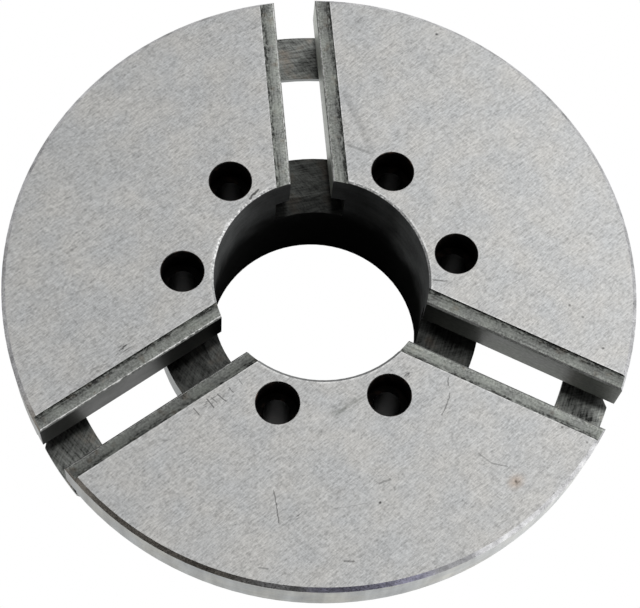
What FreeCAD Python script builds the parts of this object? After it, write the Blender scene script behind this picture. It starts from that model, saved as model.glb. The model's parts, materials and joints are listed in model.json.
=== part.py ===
import FreeCAD, Part
import math
import os

# Body of a three-jaw self-centring lathe chuck, stripped of its jaws, scroll and back cover.
# Units are millimetres. +Z points out of the front face, the origin is the centre of the hub's
# rear face, and the first jaw slot runs along +Y.

V = FreeCAD.Vector
Z_AXIS = V(0, 0, 1)
ORIGIN = V(0, 0, 0)

# ---- stations round the chuck ----
SLOT_ANGLES = (90, 210, 330)
PINION_ANGLES = (30, 150, 270)

# ---- overall body ----
BODY_DIA = 304.8
BODY_R = BODY_DIA / 2
THICKNESS = 86.0
FRONT_CHAMFER_RADIAL = 2.0
FRONT_CHAMFER_AXIAL = 1.9
EDGE_BREAK = 0.5
OVERCUT = 1.0  # how far a cutting solid stands past the surface it opens

# ---- front flange, and the rim that steps in and tapers behind it ----
FLANGE_DEPTH = 25.0
FLANGE_BACK_Z = THICKNESS - FLANGE_DEPTH
RIM_TOP_R = 150.0
RIM_BACK_R = 141.0
RIM_BACK_Z = 10.0
RIM_TAPER = (RIM_TOP_R - RIM_BACK_R) / (FLANGE_BACK_Z - RIM_BACK_Z)

# ---- central bore and the short-taper spindle seat ----
BORE_R = 51.8
BORE_CHAMFER_RADIAL = 1.0
BORE_CHAMFER_AXIAL = 0.35
SEAT_R = 106.375 / 2
SEAT_SLOPE = 0.125
SEAT_DEPTH = (SEAT_R - BORE_R) / SEAT_SLOPE

# ---- jaw slots ----
LEDGE_HALF = 17.75
LEDGE_DEPTH = 1.1
NECK_HALF = 10.45
NECK_CHAMFER = 0.9
NECK_DEPTH = 21.3
TEE_HALF = 17.2
TEE_TOP_Z = THICKNESS - NECK_DEPTH
FLOOR_DEPTH = 38.5
FLOOR_Z = THICKNESS - FLOOR_DEPTH
FLOOR_BEVEL_R = 59.8
FLOOR_BEVEL_DROP = 1.8
SLOT_REACH = BODY_R + OVERCUT

# ---- scroll chamber between hub and rim, open at the back ----
CHAMBER_R = 127.0
CHAMBER_TOP_Z = THICKNESS - 33.0
JOURNAL_R = 81.0
JOURNAL_BACK_Z = 29.6
HUB_BACK_R = 77.0

# ---- outer bridge across each slot, and the chip gap milled under it ----
BRIDGE_R = 151.2
BRIDGE_EDGE = 2.4
BRIDGE_INNER_R = 138.0
BRIDGE_CORNER = 4.0
GAP_HALF = 33.0
GAP_SLOPE = 0.58
GAP_INNER_R = CHAMBER_R - 8.0

# ---- six counterbored spindle screws, in pairs about each pinion station ----
SCREW_CIRCLE_R = 133.35 / 2
SCREW_PAIR_HALF_ANGLE = 23.25
SCREW_HEAD_R = 10.3
SCREW_MOUTH_CHAMFER = 0.35
SCREW_HEAD_DEPTH = 17.0
SCREW_HOLE_R = 7.0

# ---- pinions ----
PINION_Z = 28.5
PINION_R = 14.0
RUNNING_GAP = 0.05
PINION_OUTER_X = 142.0
SPOT_FACE_R = 17.5
SPOT_FACE_X = 142.3
HEAD_X = (104.0, 126.0)
HEAD_TIP_R = 13.6
HEAD_ROOT_R = 10.0
TEETH = 14
TOOTH_GAP_ROOT_HALF = 1.0
TOOTH_GAP_TIP_HALF = 2.35
PINION_NECK_R = 8.0
PINION_NECK_X = 100.0
PILOT_R = 5.0
PILOT_END_X = 66.6
SOCKET_SIDE = 14.0
SOCKET_DEPTH = 18.0
SOCKET_MOUTH_R = 10.6
GROOVE_X = (132.3, 136.7)
GROOVE_R = 11.8

# ---- pilot bushes in the hub ----
BUSH_R = 8.0
BUSH_X = (65.5, 76.2)
BUSH_HOLE_BOTTOM_X = 65.0
PRESS_GAP = 0.02
PINION_BORE_START_X = CHAMBER_R - 4.0

# ---- dog-point screws that hold the pinions in ----
DOG_SCREW_CIRCLE_R = (GROOVE_X[0] + GROOVE_X[1]) / 2
DOG_SCREW_R = 4.0
DOG_R = 2.0
DOG_SCREW_SINK = 0.2
DOG_SCREW_BACK_Z = RIM_BACK_Z + DOG_SCREW_SINK
DOG_SCREW_FRONT_Z = 14.0
DOG_TIP_GAP = 0.3
DOG_TIP_Z = PINION_Z - GROOVE_R - DOG_TIP_GAP
DOG_KEY_SIDE = 4.0
DOG_KEY_DEPTH = 2.2

# ---- back cover fixings in the rim's rear face ----
COVER_CIRCLE_R = 134.0
COVER_HOLE_R = 2.5
COVER_HOLE_DEPTH = 14.0
COVER_HOLE_ANGLES = (0, 60, 120, 180, 240, 300)
DOWEL_R = 3.0
DOWEL_ANGLES = (12, 168)
DOWEL_DEPTH = 12.0
DOWEL_STANDOUT = 6.0

# ---- flush grease nipple in the rim, opening into the scroll chamber ----
NIPPLE_ANGLE = 60
NIPPLE_Z = 44.0
NIPPLE_THREAD_R = 3.0
NIPPLE_LENGTH = 9.0
NIPPLE_HEAD_R = 4.6
NIPPLE_HEAD_HEIGHT = 1.4
NIPPLE_DIMPLE_R = 1.6
NIPPLE_SEAT_DEPTH = 1.2
NIPPLE_SPOT_R = NIPPLE_HEAD_R + 0.6
GREASE_HOLE_R = 1.5


def rim_radius(z):
    """Outer radius of the tapered rim at a height."""
    return RIM_TOP_R - (FLANGE_BACK_Z - z) * RIM_TAPER


def face_from(points):
    """Flat face with straight sides through the points."""
    return Part.Face(Part.makePolygon(points + points[:1]))


def revolve_rz(section):
    """Solid of revolution about Z from a closed outline of (radius, height) pairs."""
    return face_from([V(r, 0, z) for r, z in section]).revolve(ORIGIN, Z_AXIS, 360)


def revolve_x(section):
    """Solid of revolution about X from a closed outline of (x, radius) pairs."""
    return face_from([V(x, r, 0) for x, r in section]).revolve(ORIGIN, V(1, 0, 0), 360)


def spun(shape, angle):
    """Copy of a shape turned about Z."""
    copy = shape.copy()
    copy.rotate(ORIGIN, Z_AXIS, angle)
    return copy


def spun_all(shape, angles):
    """Copies of a shape at several stations round the chuck."""
    return [spun(shape, angle) for angle in angles]


def z_cylinder(radius, bottom, top, distance=0, angle=0):
    """Upright cylinder at a distance from the axis."""
    a = math.radians(angle)
    foot = V(distance * math.cos(a), distance * math.sin(a), bottom)
    return Part.makeCylinder(radius, top - bottom, foot, Z_AXIS)


def z_cone(bottom_r, top_r, bottom, top, distance, angle):
    """Upright cone at a distance from the axis."""
    a = math.radians(angle)
    foot = V(distance * math.cos(a), distance * math.sin(a), bottom)
    return Part.makeCone(bottom_r, top_r, top - bottom, foot, Z_AXIS)


def x_cylinder(radius, start, end, height):
    """Cylinder along +X at a height."""
    return Part.makeCylinder(radius, end - start, V(start, 0, height), V(1, 0, 0))


def radial_block(start, end, half_width, bottom, top):
    """Block that reaches from one radius to another along +X."""
    return Part.makeBox(end - start, 2 * half_width, top - bottom, V(start, -half_width, bottom))


def prism_across_slot(section, half_width):
    """Prism across a slot from an outline of (radius, height) pairs along +X."""
    face = face_from([V(r, -half_width, z) for r, z in section])
    return face.extrude(V(0, 2 * half_width, 0))


def prism_along_slot(section, start, end):
    """Prism along a slot from an outline of (side, height) pairs."""
    face = face_from([V(start, side, z) for side, z in section])
    return face.extrude(V(end - start, 0, 0))


def screw_angles():
    """Stations of the six spindle screws."""
    return [a + s * SCREW_PAIR_HALF_ANGLE for a in PINION_ANGLES for s in (-1, 1)]


def turned_blank():
    """Body as it leaves the lathe: flange, tapered rim, web, hub and bore."""
    section = [
        (SEAT_R, 0),
        (BORE_R, SEAT_DEPTH),
        (BORE_R, THICKNESS - BORE_CHAMFER_AXIAL),
        (BORE_R + BORE_CHAMFER_RADIAL, THICKNESS),
        (BODY_R - FRONT_CHAMFER_RADIAL, THICKNESS),
        (BODY_R, THICKNESS - FRONT_CHAMFER_AXIAL),
        (BODY_R, FLANGE_BACK_Z + EDGE_BREAK),
        (BODY_R - EDGE_BREAK, FLANGE_BACK_Z),
        (RIM_TOP_R, FLANGE_BACK_Z),
        (rim_radius(RIM_BACK_Z + 2 * EDGE_BREAK), RIM_BACK_Z + 2 * EDGE_BREAK),
        (RIM_BACK_R - 2 * EDGE_BREAK, RIM_BACK_Z),
        (CHAMBER_R + EDGE_BREAK, RIM_BACK_Z),
        (CHAMBER_R, RIM_BACK_Z + EDGE_BREAK),
        (CHAMBER_R, CHAMBER_TOP_Z),
        (JOURNAL_R, CHAMBER_TOP_Z),
        (JOURNAL_R, JOURNAL_BACK_Z + EDGE_BREAK),
        (JOURNAL_R - EDGE_BREAK, JOURNAL_BACK_Z),
        (HUB_BACK_R, JOURNAL_BACK_Z),
        (HUB_BACK_R, 2 * EDGE_BREAK),
        (HUB_BACK_R - 2 * EDGE_BREAK, 0),
    ]
    return revolve_rz(section)


def bridge_blank():
    """Bridge with cut corners that carries the slot's floor out through the tapered rim, along +X."""
    drop = BRIDGE_R - BRIDGE_INNER_R
    section = [
        (BRIDGE_INNER_R, FLANGE_BACK_Z),
        (BODY_R + OVERCUT, FLANGE_BACK_Z),
        (BODY_R + OVERCUT, FLOOR_Z - BRIDGE_EDGE),
        (BRIDGE_R, FLOOR_Z - BRIDGE_EDGE),
        (BRIDGE_INNER_R, FLOOR_Z - BRIDGE_EDGE - drop),
    ]
    block = prism_across_slot(section, TEE_HALF)
    plan = face_from([
        V(BRIDGE_INNER_R, -TEE_HALF, 0),
        V(BRIDGE_R - BRIDGE_CORNER, -TEE_HALF, 0),
        V(BRIDGE_R, BRIDGE_CORNER - TEE_HALF, 0),
        V(BRIDGE_R, TEE_HALF - BRIDGE_CORNER, 0),
        V(BRIDGE_R - BRIDGE_CORNER, TEE_HALF, 0),
        V(BRIDGE_INNER_R, TEE_HALF, 0),
    ])
    block = block.common(plan.extrude(V(0, 0, FLANGE_BACK_Z)))
    return block.common(z_cylinder(BRIDGE_R, 0, FLANGE_BACK_Z))


def slot_cut():
    """Everything milled from the front for one jaw slot, along +X."""
    chamfer_z = THICKNESS - LEDGE_DEPTH - NECK_CHAMFER
    wide = NECK_HALF + NECK_CHAMFER + OVERCUT
    ledge = radial_block(0, SLOT_REACH, LEDGE_HALF, THICKNESS - LEDGE_DEPTH, THICKNESS + OVERCUT)
    neck = radial_block(0, SLOT_REACH, NECK_HALF, FLOOR_Z, THICKNESS)
    tee = radial_block(0, SLOT_REACH, TEE_HALF, FLOOR_Z, TEE_TOP_Z)
    chamfer_section = [
        (-NECK_HALF, chamfer_z),
        (NECK_HALF, chamfer_z),
        (wide, chamfer_z + wide - NECK_HALF),
        (-wide, chamfer_z + wide - NECK_HALF),
    ]
    chamfer = prism_along_slot(chamfer_section, 0, SLOT_REACH)
    return ledge.fuse([neck, tee, chamfer])


def floor_bevel_cut():
    """Shallow turned bevel at the bore end of the slot floors."""
    section = [
        (BORE_R - OVERCUT, FLOOR_Z - FLOOR_BEVEL_DROP),
        (BORE_R, FLOOR_Z - FLOOR_BEVEL_DROP),
        (FLOOR_BEVEL_R, FLOOR_Z),
        (BORE_R - OVERCUT, FLOOR_Z),
    ]
    return revolve_rz(section).common(radial_block(0, JOURNAL_R, TEE_HALF, 0, THICKNESS))


def chip_gap_cut():
    """Sloping gap milled from the back, under the outer bridge, along +X."""
    bridge_back = FLOOR_Z - BRIDGE_EDGE
    mouth_z = RIM_BACK_Z - OVERCUT
    section = [
        (GAP_INNER_R, bridge_back),
        (CHAMBER_R, bridge_back),
        (CHAMBER_R + GAP_SLOPE * (bridge_back - mouth_z), mouth_z),
        (GAP_INNER_R, mouth_z),
    ]
    return prism_across_slot(section, GAP_HALF)


def spindle_screw_cut(angle):
    """Counterbored through hole for one spindle screw."""
    shoulder = THICKNESS - SCREW_HEAD_DEPTH
    hole = z_cylinder(SCREW_HOLE_R, -OVERCUT, THICKNESS, SCREW_CIRCLE_R, angle)
    head = z_cylinder(SCREW_HEAD_R, shoulder, THICKNESS + OVERCUT, SCREW_CIRCLE_R, angle)
    mouth = z_cone(
        SCREW_HEAD_R,
        SCREW_HEAD_R + SCREW_MOUTH_CHAMFER,
        THICKNESS - SCREW_MOUTH_CHAMFER,
        THICKNESS,
        SCREW_CIRCLE_R,
        angle,
    )
    return hole.fuse([head, mouth])


def pinion_cut():
    """Pinion bore through the rim, its spot face, and the bush hole in the hub, along +X."""
    bore = x_cylinder(PINION_R + RUNNING_GAP, PINION_BORE_START_X, BODY_R, PINION_Z)
    spot = x_cylinder(SPOT_FACE_R, SPOT_FACE_X, BODY_R, PINION_Z)
    bush_hole = x_cylinder(BUSH_R, BUSH_HOLE_BOTTOM_X, JOURNAL_R, PINION_Z)
    return [bore, spot, bush_hole]


def dog_screw_cut():
    """Tapped hole from the rim's rear face into the pinion bore, along +X."""
    start = RIM_BACK_Z - OVERCUT
    return z_cylinder(DOG_SCREW_R, start, PINION_Z - GROOVE_R, DOG_SCREW_CIRCLE_R)


def cover_hole_cut(angle):
    """Tapped hole for one back-cover screw, with its countersunk mouth."""
    top = RIM_BACK_Z + COVER_HOLE_DEPTH
    hole = z_cylinder(COVER_HOLE_R, RIM_BACK_Z - OVERCUT, top, COVER_CIRCLE_R, angle)
    point = z_cone(COVER_HOLE_R, 0, top, top + COVER_HOLE_R / 2, COVER_CIRCLE_R, angle)
    mouth = z_cone(
        COVER_HOLE_R + 2 * EDGE_BREAK,
        COVER_HOLE_R,
        RIM_BACK_Z,
        RIM_BACK_Z + 2 * EDGE_BREAK,
        COVER_CIRCLE_R,
        angle,
    )
    return hole.fuse([point, mouth])


def dowel_hole_cut(angle):
    """Hole for one back-cover dowel pin."""
    start = RIM_BACK_Z - OVERCUT
    return z_cylinder(DOWEL_R, start, RIM_BACK_Z + DOWEL_DEPTH, COVER_CIRCLE_R, angle)


def nipple_seat_x():
    """Radius of the spot face that the grease nipple sits on."""
    return rim_radius(NIPPLE_Z) - NIPPLE_SEAT_DEPTH


def nipple_cut():
    """Spot face, tapped hole and grease way for the nipple, along +X."""
    seat = nipple_seat_x()
    spot = x_cylinder(NIPPLE_SPOT_R, seat, BODY_R, NIPPLE_Z)
    thread = x_cylinder(NIPPLE_THREAD_R, seat - NIPPLE_LENGTH, seat + OVERCUT, NIPPLE_Z)
    way = x_cylinder(GREASE_HOLE_R, CHAMBER_R - OVERCUT, seat, NIPPLE_Z)
    return spun(spot.fuse([thread, way]), NIPPLE_ANGLE)


def chuck_body():
    """The one-piece steel body."""
    body = turned_blank().fuse(spun_all(bridge_blank(), SLOT_ANGLES))
    cuts = spun_all(slot_cut(), SLOT_ANGLES)
    cuts += spun_all(floor_bevel_cut(), SLOT_ANGLES)
    cuts += spun_all(chip_gap_cut(), SLOT_ANGLES)
    cuts += [spindle_screw_cut(angle) for angle in screw_angles()]
    for tool in pinion_cut():
        cuts += spun_all(tool, PINION_ANGLES)
    cuts += spun_all(dog_screw_cut(), PINION_ANGLES)
    cuts += [cover_hole_cut(angle) for angle in COVER_HOLE_ANGLES]
    cuts += [dowel_hole_cut(angle) for angle in DOWEL_ANGLES]
    cuts.append(nipple_cut())
    return body.cut(cuts)


def pinion_blank():
    """Turned pinion: shank with its retaining groove, bevel head, neck and pilot."""
    head_in, head_out = HEAD_X
    groove_in, groove_out = GROOVE_X
    section = [
        (PILOT_END_X, 0),
        (PILOT_END_X, PILOT_R - EDGE_BREAK),
        (PILOT_END_X + EDGE_BREAK, PILOT_R),
        (PINION_NECK_X, PILOT_R),
        (PINION_NECK_X, PINION_NECK_R),
        (head_in, PINION_NECK_R),
        (head_in, HEAD_TIP_R * head_in / head_out),
        (head_out, HEAD_TIP_R),
        (head_out + EDGE_BREAK, PINION_R),
        (groove_in, PINION_R),
        (groove_in, GROOVE_R),
        (groove_out, GROOVE_R),
        (groove_out, PINION_R),
        (PINION_OUTER_X - 2 * EDGE_BREAK, PINION_R),
        (PINION_OUTER_X, PINION_R - 2 * EDGE_BREAK),
        (PINION_OUTER_X, 0),
    ]
    return revolve_x(section)


def tooth_gap(angle):
    """Gap between two bevel teeth, tapering to the chuck's axis."""
    rings = []
    for x in (PINION_NECK_X - OVERCUT, HEAD_X[1]):
        scale = x / HEAD_X[1]
        outline = [
            (-TOOTH_GAP_ROOT_HALF, HEAD_ROOT_R),
            (TOOTH_GAP_ROOT_HALF, HEAD_ROOT_R),
            (TOOTH_GAP_TIP_HALF, HEAD_TIP_R + OVERCUT),
            (-TOOTH_GAP_TIP_HALF, HEAD_TIP_R + OVERCUT),
        ]
        points = [V(x, scale * side, scale * up) for side, up in outline]
        rings.append(Part.makePolygon(points + points[:1]))
    gap = Part.makeLoft(rings, True, True)
    gap.rotate(ORIGIN, V(1, 0, 0), angle)
    return gap


def key_socket():
    """Square socket for the chuck key, with a drilled core and a countersunk mouth."""
    half = SOCKET_SIDE / 2
    bottom = PINION_OUTER_X - SOCKET_DEPTH
    length = SOCKET_DEPTH + OVERCUT
    square = Part.makeBox(length, SOCKET_SIDE, SOCKET_SIDE, V(bottom, -half, -half))
    core = Part.makeCone(0, half, half / 2, V(bottom - half / 2, 0, 0), V(1, 0, 0))
    rise = SOCKET_MOUTH_R - half
    mouth = Part.makeCone(half, SOCKET_MOUTH_R, rise, V(PINION_OUTER_X - rise, 0, 0), V(1, 0, 0))
    return [square, core, mouth]


def pinion(angle):
    """One bevel pinion in its bore."""
    cuts = [tooth_gap(360 * k / TEETH) for k in range(TEETH)]
    shape = pinion_blank().cut(cuts + key_socket())
    shape.translate(V(0, 0, PINION_Z))
    return spun(shape, angle)


def pilot_bush(angle):
    """Bronze bush in the hub that carries a pinion's pilot."""
    start, end = BUSH_X
    outer = BUSH_R - PRESS_GAP
    inner = PILOT_R + RUNNING_GAP
    section = [
        (start, inner),
        (start, outer - EDGE_BREAK),
        (start + EDGE_BREAK, outer),
        (end, outer),
        (end, inner + EDGE_BREAK),
        (end - EDGE_BREAK, inner),
    ]
    shape = revolve_x(section)
    shape.translate(V(0, 0, PINION_Z))
    return spun(shape, angle)


def dog_screw(angle):
    """Dog-point set screw whose tip rides in a pinion's groove."""
    radius = DOG_SCREW_R - PRESS_GAP
    section = [
        (0, DOG_SCREW_BACK_Z),
        (radius - EDGE_BREAK, DOG_SCREW_BACK_Z),
        (radius, DOG_SCREW_BACK_Z + EDGE_BREAK),
        (radius, DOG_SCREW_FRONT_Z - EDGE_BREAK),
        (radius - EDGE_BREAK, DOG_SCREW_FRONT_Z),
        (DOG_R, DOG_SCREW_FRONT_Z),
        (DOG_R, DOG_TIP_Z),
        (0, DOG_TIP_Z),
    ]
    shape = revolve_rz(section)
    corner_r = DOG_KEY_SIDE / math.sqrt(3)
    corners = [math.radians(60 * k) for k in range(6)]
    points = [V(corner_r * math.cos(a), corner_r * math.sin(a), DOG_SCREW_BACK_Z) for a in corners]
    shape = shape.cut(face_from(points).extrude(V(0, 0, DOG_KEY_DEPTH)))
    shape.translate(V(DOG_SCREW_CIRCLE_R, 0, 0))
    return spun(shape, angle)


def dowel_pin(angle):
    """Dowel that stands out of the rim's rear face to locate the back cover."""
    radius = DOWEL_R - PRESS_GAP
    back = RIM_BACK_Z - DOWEL_STANDOUT
    front = RIM_BACK_Z + DOWEL_DEPTH - EDGE_BREAK
    section = [
        (0, back),
        (radius - 2 * EDGE_BREAK, back),
        (radius, back + 2 * EDGE_BREAK),
        (radius, front - EDGE_BREAK),
        (radius - EDGE_BREAK, front),
        (0, front),
    ]
    shape = revolve_rz(section)
    shape.translate(V(COVER_CIRCLE_R, 0, 0))
    return spun(shape, angle)


def grease_nipple():
    """Flush nipple with a dimpled ball seat and a drilled way."""
    seat = nipple_seat_x()
    radius = NIPPLE_THREAD_R - PRESS_GAP
    end = seat + NIPPLE_HEAD_HEIGHT
    section = [
        (seat - NIPPLE_LENGTH + EDGE_BREAK, GREASE_HOLE_R),
        (seat - NIPPLE_LENGTH + EDGE_BREAK, radius - EDGE_BREAK),
        (seat - NIPPLE_LENGTH + 2 * EDGE_BREAK, radius),
        (seat, radius),
        (seat, NIPPLE_HEAD_R),
        (end - EDGE_BREAK, NIPPLE_HEAD_R),
        (end, NIPPLE_HEAD_R - EDGE_BREAK),
        (end, NIPPLE_DIMPLE_R),
        (end - NIPPLE_HEAD_HEIGHT, NIPPLE_DIMPLE_R / 2),
        (end - 2 * NIPPLE_HEAD_HEIGHT, NIPPLE_DIMPLE_R / 2),
        (end - 2 * NIPPLE_HEAD_HEIGHT, GREASE_HOLE_R),
    ]
    shape = revolve_x(section)
    shape.translate(V(0, 0, NIPPLE_Z))
    return spun(shape, NIPPLE_ANGLE)


def build():
    """Every separate piece, by node name."""
    nodes = {"chuck_body": chuck_body()}
    for number, angle in enumerate(PINION_ANGLES, 1):
        nodes[f"pinion_{number}"] = pinion(angle)
        nodes[f"pinion_pilot_bush_{number}"] = pilot_bush(angle)
        nodes[f"pinion_retaining_screw_{number}"] = dog_screw(angle)
    for number, angle in enumerate(DOWEL_ANGLES, 1):
        nodes[f"cover_dowel_pin_{number}"] = dowel_pin(angle)
    nodes["grease_nipple"] = grease_nipple()
    return nodes


os.makedirs("parts", exist_ok=True)
for name, shape in build().items():
    print(f"{name}: valid {shape.isValid()}, solids {len(shape.Solids)}, volume {shape.Volume:.0f} mm3")
    shape.exportStep(f"parts/{name}.step")
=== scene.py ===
import json
import math

import bpy
import numpy as np
from mathutils import Matrix, Vector


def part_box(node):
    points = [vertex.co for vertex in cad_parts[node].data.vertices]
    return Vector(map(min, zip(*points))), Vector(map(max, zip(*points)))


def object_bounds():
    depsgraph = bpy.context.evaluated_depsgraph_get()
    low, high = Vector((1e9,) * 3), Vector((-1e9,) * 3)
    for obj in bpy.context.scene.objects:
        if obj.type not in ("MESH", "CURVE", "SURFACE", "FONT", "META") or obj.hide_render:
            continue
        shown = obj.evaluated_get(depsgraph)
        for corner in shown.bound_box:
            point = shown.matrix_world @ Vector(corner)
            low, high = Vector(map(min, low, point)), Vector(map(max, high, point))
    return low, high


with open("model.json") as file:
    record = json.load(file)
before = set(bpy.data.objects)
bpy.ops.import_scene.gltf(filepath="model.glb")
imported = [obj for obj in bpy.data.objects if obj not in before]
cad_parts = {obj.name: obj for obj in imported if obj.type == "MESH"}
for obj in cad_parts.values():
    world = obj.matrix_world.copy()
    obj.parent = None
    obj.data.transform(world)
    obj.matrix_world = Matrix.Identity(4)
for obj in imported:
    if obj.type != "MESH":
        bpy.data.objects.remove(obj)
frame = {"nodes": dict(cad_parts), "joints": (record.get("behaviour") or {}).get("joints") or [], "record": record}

# Looks for the stripped body of a three-jaw lathe chuck. The CAD nodes are all shown as they are;
# this script gives them steel, bronze and brass finishes, lights them and sets the camera.
# Lengths inside the materials are millimetres in the row frame; the scene itself is in metres.

cad_box = [list(corner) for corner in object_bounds()]
MM = 0.001
mounts = {mount["name"]: mount for mount in frame["record"]["mounts"]}

# ---- sizes from the frame, in millimetres ----
FACE_Z = cad_box[1][2] / MM
BODY_R = cad_box[1][0] / MM
BORE_R = mounts["through_bore"]["dims"]["r_mm"]
SLOT_ANGLES = [
    math.atan2(mounts[f"jaw_slot_{k}"]["axis"][1], mounts[f"jaw_slot_{k}"]["axis"][0])
    for k in (1, 2, 3)
]

# ---- depths and widths that tell one machined surface from the next, in millimetres ----
LEDGE_HALF = 17.75
LEDGE_Z = FACE_Z - 1.1
NECK_HALF = 10.45
TEE_HALF = 17.2
TEE_TOP_Z = FACE_Z - 21.3
FLOOR_Z = FACE_Z - 38.5
FLANGE_BACK_Z = FACE_Z - 25
FLOOR_BEVEL_R = 59.8
PINION_ANGLES = (30, 150, 270)
SCREW_PAIR_HALF_ANGLE = 23.25
SCREW_ANGLES = [math.radians(a + s * SCREW_PAIR_HALF_ANGLE) for a in PINION_ANGLES for s in (-1, 1)]
SCREW_CIRCLE_R = 66.675
SCREW_HEAD_DEPTH = 17.0
HEAD_ZONE_R = 11.0  # just outside a counterbore
HOLE_ZONE_R = 7.5  # just outside the hole below it
LEVEL_GAP = 0.06  # tolerance when a polygon's place is compared with a surface's
UPRIGHT_RISE = 0.3  # a wall's normal rises less than this
LEVEL_RISE = 0.95  # a flat's normal rises more than this

# ---- direction of the grinding marks on the front face ----
LAY_ANGLE = math.radians(30)

# ---- the colour sockets of a Mix node: two inputs and the output ----
MIX_A = 6
MIX_B = 7
MIX_OUT = 2


class Graph:
    """Adds nodes to one node tree and wires them."""

    def __init__(self, tree):
        self.tree = tree
        tree.nodes.clear()

    def add(self, kind, **settings):
        node = self.tree.nodes.new(kind)
        for name, value in settings.items():
            setattr(node, name, value)
        return node

    def feed(self, socket, value):
        if isinstance(value, bpy.types.NodeSocket):
            self.tree.links.new(value, socket)
        elif value is not None:
            socket.default_value = value

    def math(self, operation, a, b=None, c=None, clamp=False):
        node = self.add("ShaderNodeMath", operation=operation, use_clamp=clamp)
        for socket, value in zip(node.inputs, (a, b, c)):
            self.feed(socket, value)
        return node.outputs[0]

    def vector(self, operation, a, b=None):
        node = self.add("ShaderNodeVectorMath", operation=operation)
        self.feed(node.inputs[0], a)
        if operation == "SCALE":
            self.feed(node.inputs["Scale"], b)
        else:
            self.feed(node.inputs[1], b)
        scalar = operation in ("DOT_PRODUCT", "LENGTH", "DISTANCE")
        return node.outputs["Value" if scalar else "Vector"]

    def turned(self, vector, angle):
        node = self.add("ShaderNodeVectorRotate", rotation_type="Z_AXIS")
        self.feed(node.inputs["Vector"], vector)
        node.inputs["Angle"].default_value = angle
        return node.outputs[0]

    def noise(self, vector, detail=2.0, roughness=0.5):
        """Noise of unit wavelength, spread to about -1 .. 1."""
        node = self.add("ShaderNodeTexNoise", noise_dimensions="3D")
        self.feed(node.inputs["Vector"], vector)
        node.inputs["Scale"].default_value = 1.0
        node.inputs["Detail"].default_value = detail
        node.inputs["Roughness"].default_value = roughness
        return self.ramp(node.outputs[0], 0.25, 0.75, -1, 1, clamp=False)

    def blotches(self, place, size, detail):
        """Noise in patches of about a size."""
        return self.noise(self.vector("SCALE", place, 1 / size), detail)

    def ramp(self, value, low, high, out_low=0.0, out_high=1.0, smooth=False, clamp=True):
        node = self.add("ShaderNodeMapRange", clamp=clamp)
        if smooth:
            node.interpolation_type = "SMOOTHSTEP"
        for socket, number in zip(node.inputs, (value, low, high, out_low, out_high)):
            self.feed(socket, number)
        return node.outputs[0]

    def mix(self, factor, a, b):
        node = self.add("ShaderNodeMix", data_type="RGBA")
        self.feed(node.inputs["Factor"], factor)
        self.feed(node.inputs[MIX_A], a)
        self.feed(node.inputs[MIX_B], b)
        return node.outputs[MIX_OUT]

    def total(self, start, terms):
        """start plus each field times its weight."""
        result = start
        for field, weight in terms:
            result = self.math("MULTIPLY_ADD", field, weight, result)
        return result

    def place(self):
        """Place on the object, in millimetres, which moves with its body."""
        node = self.add("ShaderNodeTexCoord")
        return self.vector("SCALE", node.outputs["Object"], 1 / MM)


def stretched(g, place, angle, along, across, shift=0.0):
    """Coordinates for marks that run at an angle in the XY plane."""
    turned = g.turned(place, -angle)
    scaled = g.vector("MULTIPLY", turned, (1 / along, 1 / across, 1 / across))
    return g.vector("ADD", scaled, (shift, shift, shift))


def ringed(g, place, along, across, axis=(0, 0, 1), centre=(0, 0, 0)):
    """Coordinates for tool marks that run round an axis, on cylinders and flat faces alike."""
    offset = g.vector("SUBTRACT", place, centre)
    height = g.vector("DOT_PRODUCT", offset, axis)
    spoke = g.vector("SUBTRACT", offset, g.vector("SCALE", axis, height))
    radius = g.vector("LENGTH", spoke)
    stack = g.math("DIVIDE", g.math("ADD", height, radius), across)
    return g.vector("ADD", g.vector("SCALE", spoke, 1 / along), g.vector("SCALE", axis, stack))


def segment(g, place, start, end, half_width):
    """1 on a straight mark on the front face, 0 off it."""
    a = Vector((*start, FACE_Z))
    run = Vector((*end, FACE_Z)) - a
    offset = g.vector("SUBTRACT", place, tuple(a))
    reach = g.vector("DOT_PRODUCT", offset, tuple(run))
    share = g.math("MULTIPLY", reach, 1 / run.length_squared, clamp=True)
    miss = g.vector("LENGTH", g.vector("SUBTRACT", offset, g.vector("SCALE", tuple(run), share)))
    return g.ramp(miss, half_width * 0.35, half_width, 1, 0, smooth=True)


def blot(g, place, centre, half_length, half_width, angle=LAY_ANGLE):
    """1 in the middle of a soft patch on the front face, 0 outside it."""
    offset = g.vector("SUBTRACT", place, (*centre, FACE_Z))
    turned = g.turned(offset, -angle)
    scaled = g.vector("MULTIPLY", turned, (1 / half_length, 1 / half_width, 0))
    return g.ramp(g.vector("LENGTH", scaled), 0, 1, 1, 0, smooth=True)


def slot_offsets(g, place, angle):
    """Distance along a slot from the spindle axis, and distance to either side of the slot's middle."""
    along = g.vector("DOT_PRODUCT", place, (math.cos(angle), math.sin(angle), 0))
    side = g.vector("DOT_PRODUCT", place, (-math.sin(angle), math.cos(angle), 0))
    return along, side


def finish(g, colour, roughness, height=None, bump=0.1, relief=0.02, metallic=1.0):
    """Principled metal from a colour, a roughness and a height field. Relief is in millimetres."""
    shader = g.add("ShaderNodeBsdfPrincipled")
    shader.inputs["Metallic"].default_value = metallic
    g.feed(shader.inputs["Base Color"], colour)
    g.feed(shader.inputs["Roughness"], roughness)
    if height is not None:
        node = g.add("ShaderNodeBump")
        node.inputs["Strength"].default_value = bump
        node.inputs["Distance"].default_value = relief * MM
        g.feed(node.inputs["Height"], height)
        g.feed(shader.inputs["Normal"], node.outputs[0])
    output = g.add("ShaderNodeOutputMaterial")
    g.feed(output.inputs["Surface"], shader.outputs[0])


def graph_for(name):
    """New material and the graph that fills it."""
    material = bpy.data.materials.new(name)
    material.use_nodes = True
    return material, Graph(material.node_tree)


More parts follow.
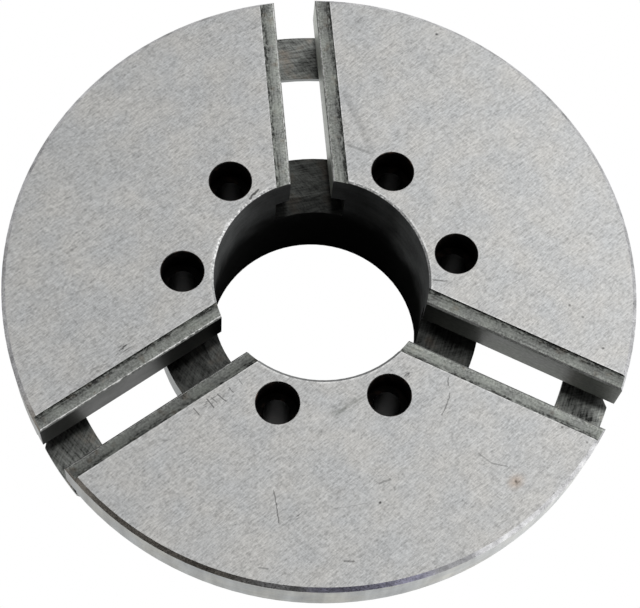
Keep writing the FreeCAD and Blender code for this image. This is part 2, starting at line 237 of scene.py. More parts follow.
def shaded(g, colour, shade):
    """A colour made lighter or darker by a field around 1."""
    return g.vector("SCALE", colour, shade)


def specks(g, place, spacing, size):
    """Sparse pits: 1 inside a pit, 0 elsewhere."""
    node = g.add("ShaderNodeTexVoronoi", feature="F1", voronoi_dimensions="3D")
    g.feed(node.inputs["Vector"], g.vector("SCALE", place, 1 / spacing))
    node.inputs["Scale"].default_value = 1.0
    chosen = g.ramp(g.vector("DOT_PRODUCT", node.outputs["Color"], (1, 0, 0)), 0.72, 0.78)
    near = g.ramp(node.outputs["Distance"], size / spacing * 0.4, size / spacing, 1, 0, smooth=True)
    return g.math("MULTIPLY", chosen, near)


FACE_SCRATCHES = (
    # start, end, half width and darkness of each mark on the ground face
    ((-31.5, -103.5), (-30.5, -118.5), 0.42, 0.5),
    ((-31.0, 43.5), (-27.0, 48.0), 0.9, 0.7),
    ((55.0, -62.5), (50.0, -73.0), 0.45, 0.45),
    ((55.0, -55.0), (54.5, -58.5), 0.5, 0.45),
    ((-65.5, -61.0), (-63.0, -64.5), 0.38, 0.5),
    ((-59.0, -57.0), (-56.0, -61.5), 0.42, 0.6),
    ((-57.0, -56.5), (-54.5, -59.0), 0.36, 0.5),
    ((-54.0, -55.0), (-50.5, -58.5), 0.40, 0.6),
    ((-48.5, -52.0), (-46.5, -54.5), 0.36, 0.5),
    ((-43.5, -48.5), (-42.0, -51.0), 0.34, 0.4),
    ((-4.0, -114.0), (10.5, -112.5), 0.4, 0.2),
    ((17.0, -103.5), (22.5, -102.0), 0.6, 0.35),
    ((64.5, -92.5), (70.5, -98.0), 0.42, 0.26),
    ((70.5, -98.0), (77.5, -100.0), 0.42, 0.34),
    ((-2.5, -138.5), (2.0, -139.0), 0.6, 0.45),
    ((-41.0, -138.5), (-37.0, -139.5), 0.5, 0.35),
    ((53.5, -5.0), (60.0, -6.0), 0.5, 0.5),
    ((21.0, 97.5), (30.5, 65.5), 2.6, 0.13),
    ((19.5, 69.0), (29.0, 64.5), 1.0, 0.28),
    ((-84.5, -29.0), (-83.0, -28.0), 0.9, 0.85),
)
FACE_PITS = (
    # centre, radius and darkness
    ((70.0, 128.0), 1.1, 0.8),
    ((57.0, 123.5), 0.9, 0.45),
    ((56.0, 119.0), 0.9, 0.45),
    ((65.0, 119.5), 0.8, 0.4),
    ((56.0, 87.5), 0.9, 0.4),
    ((61.0, 81.0), 0.9, 0.35),
    ((31.5, 138.0), 5.0, 0.13),
    ((42.0, 142.0), 3.5, 0.12),
    ((46.5, 123.0), 2.2, 0.22),
    ((16.5, -112.5), 1.0, 0.95),
    ((97.5, -114.5), 0.9, 0.8),
    ((105.5, -83.0), 1.0, 0.6),
    ((80.5, -107.5), 1.2, 0.6),
    ((117.5, -22.5), 1.1, 0.65),
    ((123.0, -29.0), 1.0, 0.55),
    ((130.5, -45.5), 1.1, 0.7),
)
FACE_HATCHES = (
    # centre, half length, half width and darkness of patches of short cross scratches
    ((-22.0, -115.5), 6.5, 3.4, 0.95),
    ((37.0, -51.5), 6.0, 3.6, 0.75),
    ((-96.5, -29.0), 9.0, 5.0, 0.75),
    ((-108.0, -38.5), 8.0, 3.5, 0.5),
    ((-57.5, -58.0), 10.0, 4.0, 0.45),
)
FACE_SMUDGES = (
    # centre, half length, half width and darkness of greenish-grey rubs
    ((3.5, -67.0), 8.5, 5.2, 0.50),
    ((10.5, -63.0), 9.0, 3.2, 0.40),
)
RUST_SPOT = (80.5, -107.5)


def darkest(g, masks):
    """Highest of several masks."""
    result = masks[0]
    for mask in masks[1:]:
        result = g.math("MAXIMUM", result, mask)
    return result


def facing(g, place, azimuth, half_angle, fade):
    """1 within a sector round the spindle axis, 0 outside it. Angles are degrees."""
    spoke = g.vector("NORMALIZE", g.vector("MULTIPLY", place, (1, 1, 0)), (0, 0, 0))
    a = math.radians(azimuth)
    aligned = g.vector("DOT_PRODUCT", spoke, (math.cos(a), math.sin(a), 0))
    outer = math.cos(math.radians(half_angle + fade))
    return g.ramp(aligned, outer, math.cos(math.radians(half_angle)), smooth=True)


def painted_edge_highlights(g, place):
    """Painted highlight along the face's slot and bore edges: 1 in broken patches there, 0 elsewhere."""
    highlight_patches = g.ramp(g.blotches(place, 3.0, 2), -0.3, 0.5)
    flat = g.vector("MULTIPLY", place, (1, 1, 0))
    edges = [g.ramp(g.vector("LENGTH", flat), BORE_R + 1.3, BORE_R + 2.2, 1, 0, smooth=True)]
    for angle in SLOT_ANGLES:
        along, side = slot_offsets(g, place, angle)
        near = g.ramp(g.math("ABSOLUTE", side), LEDGE_HALF, LEDGE_HALF + 0.8, 1, 0, smooth=True)
        edges.append(g.math("MULTIPLY", near, g.math("GREATER_THAN", along, 0.0)))
    return g.math("MULTIPLY", darkest(g, edges), highlight_patches)


def ground_face():
    """Front face: surface-ground steel with a slanting lay, small pits, handling marks and a painted highlight
    along its slot and bore edges.
    """
    material, g = graph_for("ground_face_steel")
    place = g.place()
    wobble = g.blotches(place, 2.5, 1)
    loose = g.vector("ADD", place, g.vector("SCALE", (0.35, -0.25, 0.0), wobble))
    lay = g.noise(stretched(g, place, LAY_ANGLE, 4.2, 0.95), detail=2)
    fine = g.noise(stretched(g, place, LAY_ANGLE + 0.12, 2.2, 0.6, shift=7.3), detail=1)
    cross = g.noise(stretched(g, place, LAY_ANGLE - 1.3, 4.0, 0.8, shift=3.1), detail=1)
    patch = g.blotches(place, 30, 2)
    grain = g.blotches(place, 0.9, 1)
    stain = g.noise(g.vector("ADD", g.vector("SCALE", place, 1 / 18), (4.0, 9.0, 2.0)), detail=3)
    presence = g.ramp(patch, -0.8, 0.8, 0.55, 1.25)
    lay = g.math("MULTIPLY", lay, presence)
    flecks = g.ramp(g.total(0.0, ((lay, 0.6), (grain, 0.7))), 0.25, 0.65)
    weights = ((lay, 0.22), (fine, 0.18), (cross, 0.09), (grain, 0.16), (patch, 0.05), (stain, 0.03),
               (flecks, -0.22))
    shade = g.total(1.0, weights)
    masks = [
        g.math("MULTIPLY", segment(g, loose, a, b, width), dark) for a, b, width, dark in FACE_SCRATCHES
    ]
    masks += [g.math("MULTIPLY", blot(g, loose, c, r, r), dark) for c, r, dark in FACE_PITS]
    strokes = g.ramp(g.noise(stretched(g, place, LAY_ANGLE, 3.5, 0.75, shift=5.7), detail=1), 0.0, 0.7)
    masks += [
        g.math("MULTIPLY", g.math("MULTIPLY", blot(g, place, c, long, wide), strokes), dark)
        for c, long, wide, dark in FACE_HATCHES
    ]
    masks.append(g.math("MULTIPLY", specks(g, place, 13.0, 0.75), 0.4))
    marks = darkest(g, masks)
    streaks = g.ramp(g.noise(stretched(g, place, LAY_ANGLE, 14.0, 1.1, shift=1.9), detail=2), -0.7, 0.5)
    rubs = [
        g.math("MULTIPLY", g.math("MULTIPLY", blot(g, loose, c, long, wide), streaks), dark)
        for c, long, wide, dark in FACE_SMUDGES
    ]
    smudge = darkest(g, rubs)
    cool = (0.598, 0.606, 0.608, 1)
    warm = (0.617, 0.611, 0.594, 1)
    base = g.mix(g.ramp(stain, -0.6, 0.6), cool, warm)
    rust = g.math("MULTIPLY", blot(g, loose, RUST_SPOT, 6.5, 5.0), 0.6)
    base = g.mix(rust, base, (0.55, 0.42, 0.32, 1))
    base = g.mix(smudge, base, (0.10, 0.11, 0.085, 1))
    # painted highlight: the face is lightened toward near-white along its slot and bore edges
    base = g.mix(g.math("MULTIPLY", painted_edge_highlights(g, place), 0.85), base, (0.92, 0.92, 0.91, 1))
    colour = shaded(g, base, g.math("MULTIPLY", shade, g.math("SUBTRACT", 1.0, marks)))
    roughness = g.total(0.44, ((lay, 0.05), (patch, 0.04), (marks, 0.2)))
    height = g.total(0.0, ((lay, 1.0), (fine, 0.6), (marks, -4.0)))
    finish(g, colour, roughness, height, bump=0.35, relief=0.012)
    return material


def ledge(name, angle, painted_side_light):
    """Ledge beside a slot: milled along; nicked, with painted shade in the corner beside the face; a painted
    highlight at the neck; one ledge of a slot painted lighter than the other.
    """
    material, g = graph_for(name)
    place = g.place()
    side = slot_offsets(g, place, angle)[1]
    reach = g.math("ABSOLUTE", side)
    lines = g.noise(stretched(g, place, angle, 20.0, 0.7), detail=2)
    grain = g.blotches(place, 0.9, 2)
    patch = g.blotches(place, 12, 3)
    # painted highlight along the neck edge, speckled
    neck_highlight = g.math("MULTIPLY", g.ramp(reach, NECK_HALF + 3.4, NECK_HALF + 0.9),
                    g.ramp(grain, -0.3, 0.6))
    # painted shade in the corner beside the step up to the face, broken up with nicks
    nicks_and_corner_shade = g.math("MULTIPLY", g.ramp(reach, LEDGE_HALF - 3.4, LEDGE_HALF - 0.6),
                   g.ramp(g.noise(stretched(g, place, angle, 2.6, 1.2, shift=4.4), detail=2), -0.5, 0.3))
    shade = g.total(1.0, ((lines, 0.25), (grain, 0.34), (patch, 0.36), (neck_highlight, 0.5), (nicks_and_corner_shade, -0.85)))
    # painted light: one ledge of the slot lighter than the other
    painted_light = g.ramp(side, -1.0, 1.0, *painted_side_light)
    shade = g.math("MULTIPLY", g.math("MAXIMUM", shade, 0.15), painted_light)
    shifted = g.vector("ADD", g.vector("SCALE", place, 1 / 6), (3.0, 8.0, 1.0))
    stain = g.ramp(g.noise(shifted, detail=3), 0.35, 0.9)
    base = g.mix(g.ramp(patch, -0.7, 0.7), (0.33, 0.34, 0.325, 1), (0.29, 0.305, 0.28, 1))
    base = g.mix(g.math("MULTIPLY", stain, 0.5), base, (0.20, 0.16, 0.12, 1))
    rough = g.total(0.42, ((patch, 0.05), (grain, 0.05)))
    height = g.total(0.0, ((lines, 1.0), (grain, 0.8)))
    finish(g, shaded(g, base, shade), rough, height, bump=0.4, relief=0.015)
    return material


def neck_edge(name, painted_light, highlight_level):
    """Small chamfer at the top of the neck: a painted highlight along its top, and below it steel at the slot's
    painted light level.
    """
    material, g = graph_for(name)
    place = g.place()
    height = g.vector("DOT_PRODUCT", place, (0, 0, 1))
    blotch_noise = g.blotches(place, 2.2, 2)
    # painted highlight along the top of the chamfer
    highlight_band = g.ramp(g.total(height, ((blotch_noise, 0.3),)), LEDGE_Z - 0.45, LEDGE_Z - 0.2)
    base = g.mix(highlight_band, (painted_light, painted_light * 1.03, painted_light * 0.98, 1), (highlight_level, highlight_level, highlight_level * 0.98, 1))
    grain = g.blotches(place, 0.8, 1)
    shade = g.total(0.95, ((blotch_noise, 0.3), (grain, 0.3)))
    finish(g, shaded(g, base, shade), 0.42, metallic=0.6)
    return material


def slot_floor(name, angle, painted_light):
    """Slot floor on the two bridges: oily steel with cross-hatched cutter marks, made dark by painted shade on the
    inner bridge, on its bevel and under the ledges, and given each slot's own level of painted light.
    """
    material, g = graph_for(name)
    place = g.place()
    along, side = slot_offsets(g, place, angle)
    hatch = g.noise(stretched(g, place, angle + math.radians(98), 9.0, 0.9), detail=2)
    cross = g.noise(stretched(g, place, angle + math.radians(35), 6.0, 0.9, shift=5.0), detail=2)
    patch = g.blotches(place, 9, 3)
    grain = g.blotches(place, 0.8, 1)
    # painted shade: the inner bridge and its bevel darker than the outer bridge; painted light: the level differs
    # from slot to slot
    inner_bridge_shade = g.ramp(along, 95.0, 105.0, 0.33 * painted_light, 0.92 * painted_light)
    inner_bridge_shade = g.math("MULTIPLY", inner_bridge_shade, g.ramp(along, FLOOR_BEVEL_R - 0.5, FLOOR_BEVEL_R + 0.5, 0.55, 1.0))
    # painted shade under the ledges at both sides
    undercut_shade = g.ramp(g.math("ABSOLUTE", side), NECK_HALF - 0.5, NECK_HALF + 2.0, 1.0, 0.25)
    shade = g.total(1.0, ((hatch, 0.55), (cross, 0.35), (patch, 0.55), (grain, 0.22)))
    shade = g.math("MULTIPLY", g.math("MAXIMUM", shade, 0.1), g.math("MULTIPLY", inner_bridge_shade, undercut_shade))
    base = g.mix(g.ramp(patch, 0.2, 1.0), (0.290, 0.300, 0.285, 1), (0.29, 0.25, 0.21, 1))
    height = g.total(0.0, ((hatch, 1.0), (cross, 0.6)))
    finish(g, shaded(g, base, shade), g.total(0.46, ((patch, 0.06),)), height, bump=0.5, relief=0.02)
    return material


def oily_hole_painted_shade():
    """Screw counterbores and holes: painted shade, all but black and darker still toward the bottom, with a few
    brown traces of old oil.
    """
    material, g = graph_for("counterbore_oil_and_painted_shade")
    place = g.place()
    # painted shade: the hole gets darker toward its bottom
    depth = g.ramp(g.vector("DOT_PRODUCT", place, (0, 0, 1)), FACE_Z - 14.0, FACE_Z - 1.0)
    rings = g.noise(g.vector("MULTIPLY", place, (1 / 8, 1 / 8, 1 / 1.1)), detail=2)
    trace = g.ramp(g.blotches(place, 3.5, 3), 0.1, 0.8)
    # base all but black: painted shade inside the hole; the brown traces are old oil
    base = g.mix(trace, (0.05, 0.05, 0.048, 1), (0.22, 0.15, 0.12, 1))
    light = g.math("MULTIPLY_ADD", depth, 0.9, 0.12)
    shade = g.math("MULTIPLY", g.math("MULTIPLY_ADD", rings, 0.45, 0.8), light)
    finish(g, shaded(g, base, shade), 0.5)
    return material


def bore_wall():
    """Bore: charcoal and patchy near the front; painted shade makes it all but black below the slots and darker on
    the north side, and painted light brightens its east side.
    """
    material, g = graph_for("bore_turned_steel")
    place = g.place()
    height = g.vector("DOT_PRODUCT", place, (0, 0, 1))
    rings = g.noise(ringed(g, place, 30.0, 1.4), detail=2)
    patch = g.blotches(place, 13, 3)
    grain = g.blotches(place, 0.9, 1)
    # painted shade: darker with depth, all but black below the slots
    front = g.ramp(g.total(height, ((patch, 4.0),)), 36.0, 62.0, 0.06, 1.0, smooth=True)
    # painted shade: darker on the north side
    north = g.vector("DOT_PRODUCT", place, (0.10 / BORE_R, 1 / BORE_R, 0))
    north_shade = g.ramp(north, 0.55, 0.98, 1.0, 0.5, smooth=True)
    shade = g.total(1.0, ((rings, 0.2), (patch, 0.4), (grain, 0.2)))
    shade = g.math("MULTIPLY", shade, g.math("MULTIPLY", front, north_shade))
    # painted light: lighter on the east side
    shade = g.math("MULTIPLY", shade, g.math("MULTIPLY_ADD", facing(g, place, 5, 20, 18), 0.7, 1.0))
    finish(g, shaded(g, (0.15, 0.155, 0.155), shade), 0.55, rings, bump=0.35, relief=0.012, metallic=0.0)
    return material


def rim_wall():
    """Flange's outer wall: turned, handled, with faint upright streaks, and a painted shade round 190 degrees."""
    material, g = graph_for("rim_turned_steel")
    place = g.place()
    rings = g.noise(ringed(g, place, 60.0, 1.3), detail=2)
    streaks = g.noise(g.vector("MULTIPLY", place, (1 / 5, 1 / 5, 1 / 40)), detail=3)
    patch = g.blotches(place, 18, 3)
    grain = g.blotches(place, 0.9, 1)
    shade = g.total(1.0, ((rings, 0.12), (streaks, 0.25), (patch, 0.22), (grain, 0.08)))
    # painted shade: a little darker round 190 degrees
    shade = g.math("MULTIPLY", shade, g.math("MULTIPLY_ADD", facing(g, place, 190, 25, 20), -0.10, 1.0))
    base = g.mix(g.ramp(patch, -0.6, 0.6), (0.474, 0.497, 0.502, 1), (0.502, 0.502, 0.465, 1))
    finish(g, shaded(g, base, shade), g.total(0.38, ((patch, 0.06),)), rings, bump=0.35, relief=0.012)
    return material


def rim_chamfer():
    """Front chamfer: bright turned steel, grimy toward the second slot, blued round the south, and with a painted
    dark reflection in a sector just beside it.
    """
    material, g = graph_for("rim_chamfer_steel")
    place = g.place()
    rings = g.noise(ringed(g, place, 30.0, 0.5), detail=2)
    patch = g.blotches(place, 7, 3)
    grain = g.blotches(place, 0.9, 2)
    shade = g.total(1.0, ((rings, 0.2), (patch, 0.45), (grain, 0.3)))
    grime = facing(g, place, 226, 20, 10)
    blued = facing(g, place, 273, 8, 5)
    # painted dark reflection: a darker sector round the south
    dull = facing(g, place, 279, 11, 6)
    base = g.mix(g.math("MULTIPLY", grime, 0.75), (0.70, 0.70, 0.71, 1), (0.42, 0.37, 0.30, 1))
    base = g.mix(g.math("MULTIPLY", dull, 0.75), base, (0.36, 0.36, 0.38, 1))
    base = g.mix(g.math("MULTIPLY", blued, 0.8), base, (0.50, 0.49, 0.66, 1))
    finish(g, shaded(g, base, shade), g.total(0.34, ((grain, 0.1),)), metallic=0.85)
    return material


def bore_chamfer():
    """Bore's front edge: painted glints in broken patches round the north, none round the south, where it stays
    dark.
    """
    material, g = graph_for("bore_chamfer_steel")
    place = g.place()
    highlight_patches = g.ramp(g.blotches(place, 1.3, 3), -0.3, 0.6, 0.15, 1.0)
    # painted highlight: glints everywhere but round the south
    south = facing(g, place, 270, 75, 45)
    bright = g.math("MULTIPLY", highlight_patches, g.math("SUBTRACT", 1.0, south))
    base = g.mix(bright, (0.27, 0.275, 0.275, 1), (0.95, 0.95, 0.94, 1))
    grain = g.blotches(place, 0.8, 1)
    finish(g, shaded(g, base, g.total(1.0, ((grain, 0.2),))), 0.32)
    return material


def milled(name, colour, angle, roughness=0.42, depth=0.10):
    """Milled steel whose cutter marks run along a slot, with oily dark patches."""
    material, g = graph_for(name)
    place = g.place()
    lines = g.noise(stretched(g, place, angle, 26.0, 0.7), detail=2)
    chatter = g.noise(stretched(g, place, angle + 0.5, 6.0, 1.0, shift=2.2), detail=1)
    patch = g.blotches(place, 14, 3)
    grain = g.blotches(place, 0.8, 1)
    shade = g.total(1.0, ((lines, depth), (chatter, depth * 0.9), (patch, 0.18), (grain, 0.06)))
    dull = (colour[0] * 0.88, colour[1] * 0.90, colour[2] * 0.86, 1)
    base = g.mix(g.ramp(patch, -0.7, 0.7), (*colour, 1), dull)
    rough = g.total(roughness, ((patch, 0.05), (lines, 0.05)))
    height = g.total(0.0, ((lines, 1.0), (chatter, 0.5)))
    finish(g, shaded(g, base, shade), rough, height, bump=0.4, relief=0.02)
    return material


def lathe_turned(name, colour, roughness=0.35, along=30.0, across=0.6, depth=0.06, patchy=0.06,
                 axis=(0, 0, 1), centre=(0, 0, 0), relief=0.012):
    """Turned metal whose tool marks run round an axis."""
    material, g = graph_for(name)
    place = g.place()
    rings = g.noise(ringed(g, place, along, across, axis, centre), detail=2)
    bands = g.noise(ringed(g, place, along * 3, across * 5, axis, centre), detail=1)
    patch = g.blotches(place, 16, 3)
    grain = g.blotches(place, 0.8, 1)
    shade = g.total(1.0, ((rings, depth), (bands, depth * 0.7), (patch, patchy), (grain, 0.03)))
    tint = (colour[0] * 0.93, colour[1] * 0.98, colour[2], 1)
    base = g.mix(g.ramp(patch, -0.6, 0.6), (*colour, 1), tint)
    rough = g.total(roughness, ((patch, 0.04), (rings, 0.05)))
    finish(g, shaded(g, base, shade), rough, rings, bump=0.35, relief=relief)
    return material


def unit(vector):
    """Direction of a vector."""
    return Vector(vector).normalized()


def polygon_fields(mesh):
    """Centre in millimetres and normal of every polygon."""
    count = len(mesh.polygons)
    centres = np.empty(count * 3, np.float32)
    normals = np.empty(count * 3, np.float32)
    mesh.polygons.foreach_get("center", centres)
    mesh.polygons.foreach_get("normal", normals)
    return centres.reshape(-1, 3) / MM, normals.reshape(-1, 3)


def body_zones(centres, normals):
    """Machined surface that each polygon of the body belongs to, as a list of (name, mask)."""
    x, y, z = centres.T
    up = normals[:, 2]
    radius = np.hypot(x, y)
    upright = np.abs(up) < UPRIGHT_RISE
    sloped = (up > UPRIGHT_RISE) & (up < LEVEL_RISE)
    near_face = z > FACE_Z - 3
    zones = [("rear", np.ones(len(z), bool))]
    zones.append(("rim_back", upright & (radius > BODY_R - 14) & (z < FLANGE_BACK_Z)))
    zones.append(("chamber", upright & (radius > BORE_R + 3) & (radius < BODY_R - 20)))
    zones.append(("bore", upright & (radius < BORE_R + 1.5)))
    zones.append(("rim", upright & (radius > BODY_R - 1) & (z > FLANGE_BACK_Z - LEVEL_GAP)))
    zones.append(("rim_chamfer", sloped & near_face & (radius > BODY_R - 3)))
    zones.append(("bore_chamfer", sloped & near_face & (radius < BORE_R + 3)))
    for k, angle in enumerate(SLOT_ANGLES, 1):
        along = x * math.cos(angle) + y * math.sin(angle)
        across = np.abs(y * math.cos(angle) - x * math.sin(angle))
        walls = np.abs(normals[:, 1] * math.cos(angle) - normals[:, 0] * math.sin(angle)) > 0.6
        slot = (along > BORE_R * 0.8) & (across < LEDGE_HALF + LEVEL_GAP)
        tee = slot & (across < TEE_HALF + LEVEL_GAP) & (z < TEE_TOP_Z + LEVEL_GAP)
        zones.append((f"slot_{k}_tee", tee & walls & (z > FLOOR_Z)))
        zones.append((f"slot_{k}_tee", tee & (up < -0.9) & (z > FLOOR_Z + 1)))
        zones.append((f"slot_{k}_floor", tee & (up > 0.9) & (z > FLOOR_Z - 3)))
        neck = slot & walls & (z > TEE_TOP_Z) & (across < NECK_HALF + LEVEL_GAP)
        ledges = slot & (z > LEDGE_Z - LEVEL_GAP) & (z < FACE_Z - LEVEL_GAP)
        zones.append((f"slot_{k}_neck", neck))
        zones.append((f"slot_{k}_ledge", ledges & (walls | (up > LEVEL_RISE))))
        zones.append((f"slot_{k}_edge", slot & sloped & (across < NECK_HALF + 1) & (z > LEDGE_Z - 2)))
    for angle in SCREW_ANGLES:
        dx = x - SCREW_CIRCLE_R * math.cos(angle)
        dy = y - SCREW_CIRCLE_R * math.sin(angle)
        gap = np.hypot(dx, dy)
        head = (gap < HEAD_ZONE_R) & (z > FACE_Z - SCREW_HEAD_DEPTH - LEVEL_GAP)
        hole = (gap < HOLE_ZONE_R) & (z > 1)
        zones.append(("counterbore", (head | hole) & (z < FACE_Z - 0.01)))
    zones.append(("face", (up > 0.99) & (z > FACE_Z - LEVEL_GAP)))
    return zones


SLOT_PAINTED_LIGHT = (
    # painted light and shade of each slot's two ledges, neck walls, neck edge below and at the top, and floor:
    # each slot is lit differently
    ((0.84, 1.03), 3.4, (0.40, 0.95), 0.85),
    ((0.84, 0.54), 0.30, (0.20, 0.95), 1.2),
    ((0.95, 0.70), 1.05, (0.42, 0.48), 1.8),
)


def paint_body():
    """Gives each machined surface of the body its own finish."""
    materials = {
        "rear": lathe_turned("rear_turned_steel", (0.36, 0.36, 0.35),
                             roughness=0.45, across=0.9, depth=0.12),
        "rim_back": lathe_turned("rim_back_turned_steel", (0.40, 0.40, 0.39),
                                 roughness=0.42, across=0.8, depth=0.12),
        "chamber": lathe_turned("chamber_turned_steel", (0.42, 0.42, 0.41),
                                roughness=0.42, across=0.7, depth=0.1),
        "bore": bore_wall(),
        "rim": rim_wall(),
        "rim_chamfer": rim_chamfer(),
        "bore_chamfer": bore_chamfer(),
        "counterbore": oily_hole_painted_shade(),
        "face": ground_face(),
    }
    for k, angle in enumerate(SLOT_ANGLES, 1):
        ledge_painted_light, neck_painted_light, edge_painted_light, floor_painted_light = SLOT_PAINTED_LIGHT[k - 1]
        # painted light: each slot's neck walls get their own brightness
        neck_painted_colour = (0.20 * neck_painted_light, 0.205 * neck_painted_light, 0.196 * neck_painted_light)
        materials[f"slot_{k}_ledge"] = ledge(f"slot_{k}_ledge_steel", angle, ledge_painted_light)
        materials[f"slot_{k}_edge"] = neck_edge(f"slot_{k}_edge_steel", *edge_painted_light)
        materials[f"slot_{k}_neck"] = milled(f"slot_{k}_neck_steel", neck_painted_colour, angle, depth=0.25)
        materials[f"slot_{k}_tee"] = milled(f"slot_{k}_tee_steel", (0.10, 0.10, 0.095), angle, roughness=0.5)
        materials[f"slot_{k}_floor"] = slot_floor(f"slot_{k}_floor_steel", angle, floor_painted_light)
    mesh = frame["nodes"]["chuck_body"].data
    names = list(materials)
    mesh.materials.clear()
    for material in materials.values():
        mesh.materials.append(material)
    centres, normals = polygon_fields(mesh)
    index = np.zeros(len(mesh.polygons), np.int32)
    for name, mask in body_zones(centres, normals):
        index[mask] = names.index(name)
    mesh.polygons.foreach_set("material_index", index)
    mesh.update()


def wear_one_material(node, material):
    """Gives a whole CAD node one material."""
    mesh = frame["nodes"][node].data
    mesh.materials.clear()
    mesh.materials.append(material)


def paint_small_parts():
    """Finishes of the pinions, bushes, screws, dowels and grease nipple."""
    for joint in frame["joints"]:
        number = joint["child"].split("_")[1]
        axis = tuple(unit(joint["axis"]))
        centre = tuple(Vector(joint["pos_m"]) / MM)
        pinion = lathe_turned(f"pinion_{number}_hardened_steel", (0.30, 0.30, 0.31), roughness=0.34,
                              along=6.0, across=0.5, depth=0.16, patchy=0.2, axis=axis, centre=centre)
        bush = lathe_turned(f"bush_{number}_bronze", (0.60, 0.40, 0.19), roughness=0.32,
                            along=6.0, across=0.4, depth=0.1, patchy=0.15, axis=axis, centre=centre)
        wear_one_material(f"pinion_{number}", pinion)
        wear_one_material(f"pinion_pilot_bush_{number}", bush)
    for number in (1, 2, 3):
        low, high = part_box(f"pinion_retaining_screw_{number}")
        centre = tuple((low + high) / 2 / MM)
        black = lathe_turned(f"screw_{number}_black_oxide", (0.045, 0.045, 0.05), roughness=0.42,
                             along=3.0, across=0.4, depth=0.2, patchy=0.2, centre=centre)
        wear_one_material(f"pinion_retaining_screw_{number}", black)
    for number in (1, 2):
        low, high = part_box(f"cover_dowel_pin_{number}")
        centre = tuple((low + high) / 2 / MM)
        ground = lathe_turned(f"dowel_{number}_ground_steel", (0.66, 0.66, 0.67), roughness=0.2,
                              along=4.0, across=0.25, depth=0.05, centre=centre)
        wear_one_material(f"cover_dowel_pin_{number}", ground)
    nipple = mounts["grease_nipple_head"]
    brass = lathe_turned("nipple_turned_brass", (0.72, 0.55, 0.24), roughness=0.28, along=3.0, across=0.3,
                         depth=0.1, patchy=0.15, axis=tuple(unit(nipple["axis"])),
                         centre=tuple(Vector(nipple["pos_m"]) / MM))
    wear_one_material("grease_nipple", brass)


# ---- stage and light, in metres ----
FLOOR_R = 3.0
SHADE_R = 0.054
SHADE_DROP = 0.0015

SOFTBOX_TOWARDS = (0.75, 0.45, 0.9)
SOFTBOX_DISTANCE = 1.6
SOFTBOX_SIZE = 1.2
SOFTBOX_WATTS = 3.0

BASE_LIGHT = 0.40
SOUTH_WEST_LOSS = -0.93
STUDIO_LOBES = (
    # direction, cosines at which the lobe starts and is full, and the light it adds
    ((0.62, 0.30, 0.72), 0.15, 0.98, 0.34),  # overhead and to the east
    ((0.05, 0.12, 1.0), 0.88, 0.99, 0.21),  # zenith
    ((-0.75, 0.25, 0.60), 0.2, 0.95, -0.08),  # dim western sky
    ((0.75, -0.62, 0.22), 0.75, 0.93, 0.5),  # low in the south-east
    ((-0.95, 0.25, 0.0), 0.6, 0.9, 0.05),  # western horizon
    ((0, 0, -1), 0.05, 0.6, 0.30),  # bounce off the floor
    ((0.55, 0.10, -0.83), 0.80, 0.97, 0.5),  # floor to the east
)


def flat_disc(name, radius, height, sides=96):
    """Flat round face that belongs to the stage, not to the chuck."""
    mesh = bpy.data.meshes.new(name)
    turns = [2 * math.pi * k / sides for k in range(sides)]
    corners = [(radius * math.cos(a), radius * math.sin(a), height) for a in turns]
    mesh.from_pydata(corners, [], [tuple(range(sides))])
    piece = bpy.data.objects.new(name, mesh)
    bpy.context.scene.collection.objects.link(piece)
    return piece


def add_floor():
    """Plain white floor that only the camera sees, and only from above."""
    floor = flat_disc("floor", FLOOR_R, -2 * SHADE_DROP)
    material, g = graph_for("white_floor")
    glow = g.add("ShaderNodeEmission")
    glow.inputs["Strength"].default_value = 1.0
    clear = g.add("ShaderNodeBsdfTransparent")
    below = g.add("ShaderNodeNewGeometry").outputs["Backfacing"]
    choice = g.add("ShaderNodeMixShader")
    g.feed(choice.inputs[0], below)
    g.feed(choice.inputs[1], glow.outputs[0])
    g.feed(choice.inputs[2], clear.outputs[0])
    output = g.add("ShaderNodeOutputMaterial")
    g.feed(output.inputs["Surface"], choice.outputs[0])
    floor.data.materials.append(material)
    floor.visible_diffuse = False
    floor.visible_glossy = False
    floor.visible_shadow = False
    floor.visible_transmission = False


def add_underside_shade():
    """The dark below the open bore. It shades the bore's wall, and no camera sees it."""
    shade = flat_disc("underside_shade", SHADE_R, -SHADE_DROP)
    material, g = graph_for("underside_dark")
    matt = g.add("ShaderNodeBsdfDiffuse")
    matt.inputs["Color"].default_value = (0.01, 0.01, 0.01, 1)
    output = g.add("ShaderNodeOutputMaterial")
    g.feed(output.inputs["Surface"], matt.outputs[0])
    shade.data.materials.append(material)
    shade.visible_camera = False


def lobe(g, direction, towards, edge, middle):
    """1 where a direction is close to another, 0 away from it."""
    return g.ramp(g.vector("DOT_PRODUCT", direction, tuple(unit(towards))), edge, middle, smooth=True)


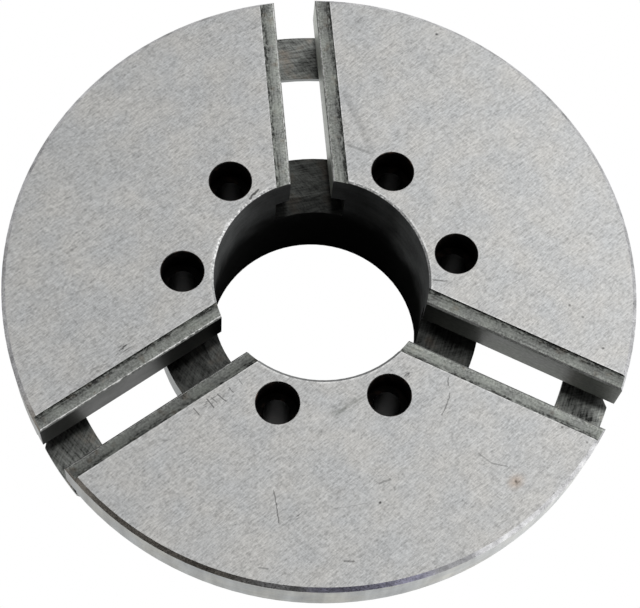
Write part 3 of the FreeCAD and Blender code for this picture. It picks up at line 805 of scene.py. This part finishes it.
def add_surroundings():
    """White to the camera. To the steel, a studio: bright above and east, dark in the south-west."""
    world = bpy.data.worlds.new("studio")
    bpy.context.scene.world = world
    world.use_nodes = True
    g = Graph(world.node_tree)
    direction = g.add("ShaderNodeTexCoord").outputs["Generated"]
    lights = [(lobe(g, direction, towards, edge, middle), light)
              for towards, edge, middle, light in STUDIO_LOBES]
    south_west = lobe(g, direction, (-0.42, -0.88, 0.22), 0.62, 0.84)
    left = g.math("MULTIPLY_ADD", south_west, SOUTH_WEST_LOSS, 1.0)
    studio = g.add("ShaderNodeBackground")
    studio.inputs["Color"].default_value = (1, 1, 1, 1)
    g.feed(studio.inputs["Strength"], g.math("MULTIPLY", g.total(BASE_LIGHT, lights), left))
    white = g.add("ShaderNodeBackground")
    white.inputs["Color"].default_value = (1, 1, 1, 1)
    choice = g.add("ShaderNodeMixShader")
    g.feed(choice.inputs[0], g.add("ShaderNodeLightPath").outputs["Is Camera Ray"])
    g.feed(choice.inputs[1], studio.outputs[0])
    g.feed(choice.inputs[2], white.outputs[0])
    output = g.add("ShaderNodeOutputWorld")
    g.feed(output.inputs["Surface"], choice.outputs[0])


def add_softbox():
    """Soft square light overhead, to the east, that looks at the chuck."""
    data = bpy.data.lights.new("overhead_softbox", "AREA")
    data.shape = "SQUARE"
    data.size = SOFTBOX_SIZE
    data.energy = SOFTBOX_WATTS
    lamp = bpy.data.objects.new("overhead_softbox", data)
    bpy.context.scene.collection.objects.link(lamp)
    back = unit(SOFTBOX_TOWARDS)
    turn = back.to_track_quat("Z", "Y").to_matrix().to_4x4()
    lamp.matrix_world = Matrix.Translation(back * SOFTBOX_DISTANCE) @ turn
    lamp.visible_camera = False


# ---- camera: lens and sensor in millimetres, aim and distance in metres ----
LENS = 105.87
SENSOR = 36.0
CLIP_START = 0.01
AIM = Vector((-2.07, -13.5, FACE_Z)) * MM
DISTANCE = 0.8966
AZIMUTH = math.radians(-13.14)
ELEVATION = math.radians(68.776)
ROLL = math.radians(8.497)


def add_camera():
    """Camera above the chuck and a little to its south-west, rolled as the photograph was taken."""
    data = bpy.data.cameras.new("camera")
    data.sensor_width = SENSOR
    data.lens = LENS
    data.clip_start = CLIP_START
    camera = bpy.data.objects.new("camera", data)
    bpy.context.scene.collection.objects.link(camera)
    back = Vector((
        math.sin(AZIMUTH) * math.cos(ELEVATION),
        -math.cos(AZIMUTH) * math.cos(ELEVATION),
        math.sin(ELEVATION),
    ))
    level_right = (-back).cross(Vector((0, 0, 1))).normalized()
    level_up = level_right.cross(-back)
    right = level_right * math.cos(ROLL) + level_up * math.sin(ROLL)
    up = back.cross(right)
    turn = Matrix((right, up, back)).transposed().to_4x4()
    camera.matrix_world = Matrix.Translation(AIM + back * DISTANCE) @ turn
    bpy.context.scene.camera = camera


paint_body()
paint_small_parts()
add_floor()
add_underside_shade()
add_surroundings()
add_softbox()
add_camera()
bpy.context.scene.view_settings.view_transform = "Standard"
